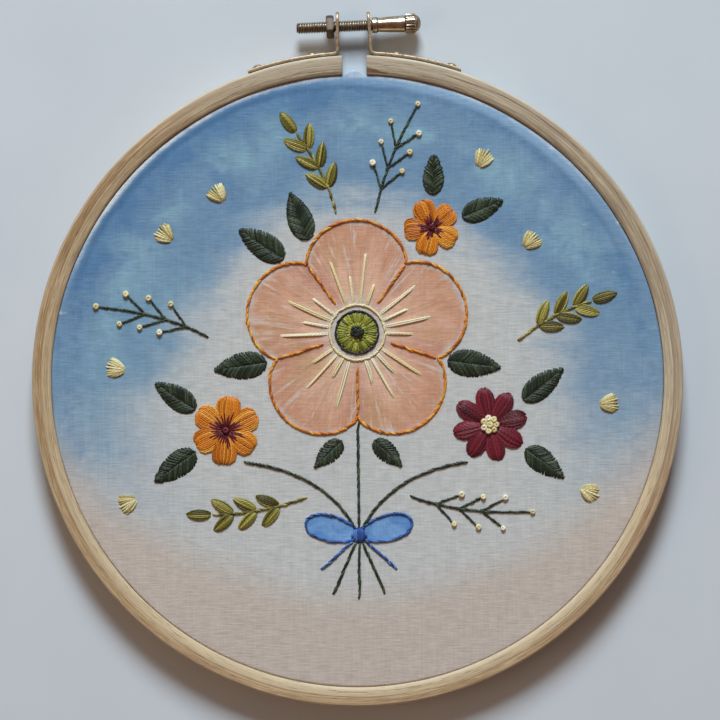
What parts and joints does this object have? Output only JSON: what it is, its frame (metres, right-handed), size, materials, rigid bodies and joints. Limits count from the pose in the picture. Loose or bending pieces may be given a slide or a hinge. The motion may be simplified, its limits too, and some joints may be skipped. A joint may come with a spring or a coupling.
{
  "type": "embroidered cloth in a wooden embroidery hoop",
  "caption": "Round cotton cloth held flat in a wooden embroidery hoop with a brass tension screw, worked in thread with a posy of flowers, leaves and buds.",
  "frame": {"origin": "on the surface that the hoop lies on, under the middle of the whole object's box", "axes": "+Z out of the cloth's face, +Y towards the tension screw, +X towards the screw's thumb end"},
  "size_m": [0.2024, 0.2162, 0.0115],
  "materials": {
    "wood": "bare, fine sanded",
    "cotton": "plain weave with a painted wash",
    "brass": "polished",
    "thread_orange": "stranded cotton",
    "thread_maroon": "stranded cotton",
    "thread_green": "stranded cotton",
    "thread_olive": "stranded cotton",
    "thread_cream": "stranded cotton",
    "thread_blue": "stranded cotton",
    "thread_lime": "stranded cotton"
  },
  "bodies": {
    "hoop": {"outer_ring": "wood", "inner_ring": "wood", "ground_cloth": "cotton", "bracket_left": "brass", "bracket_right": "brass", "rivet_left_1": "brass", "rivet_left_2": "brass", "rivet_right_1": "brass", "rivet_right_2": "brass", "hex_nut": "brass", "bloom_outline": "thread_orange", "bloom_eye": "thread_lime", "bloom_stamens": "thread_cream", "flower_maroon": "thread_maroon", "flower_orange": "thread_orange", "flower_small": "thread_orange", "flower_knots": "thread_cream", "leaf_1": "thread_green", "leaf_2": "thread_green", "leaf_3": "thread_green", "leaf_4": "thread_green", "leaf_5": "thread_green", "leaf_6": "thread_green", "leaf_7": "thread_green", "leaf_8": "thread_green", "leaf_9": "thread_green", "leaf_10": "thread_green", "leaf_11": "thread_green", "leaf_12": "thread_green", "bud_1": "thread_cream", "bud_2": "thread_cream", "bud_3": "thread_cream", "bud_4": "thread_cream", "bud_5": "thread_cream", "bud_6": "thread_cream", "bud_7": "thread_cream", "bud_8": "thread_cream", "leaf_sprig_1": "thread_olive", "leaf_sprig_2": "thread_olive", "leaf_sprig_3": "thread_olive", "knot_sprig_1": "thread_green", "knot_sprig_2": "thread_green", "knot_sprig_3": "thread_green", "stems_above": "thread_green", "stems_below": "thread_green", "bow": "thread_blue"},
    "screw": {"tension_screw": "brass"}
  },
  "joints": [
    {"name": "screw_turn", "type": "hinge", "parent": "hoop", "child": "screw", "pos_m": [0, 0.1038, 0.005], "axis": [0.9995, 0.0332, 0], "continuous": true}
  ]
}
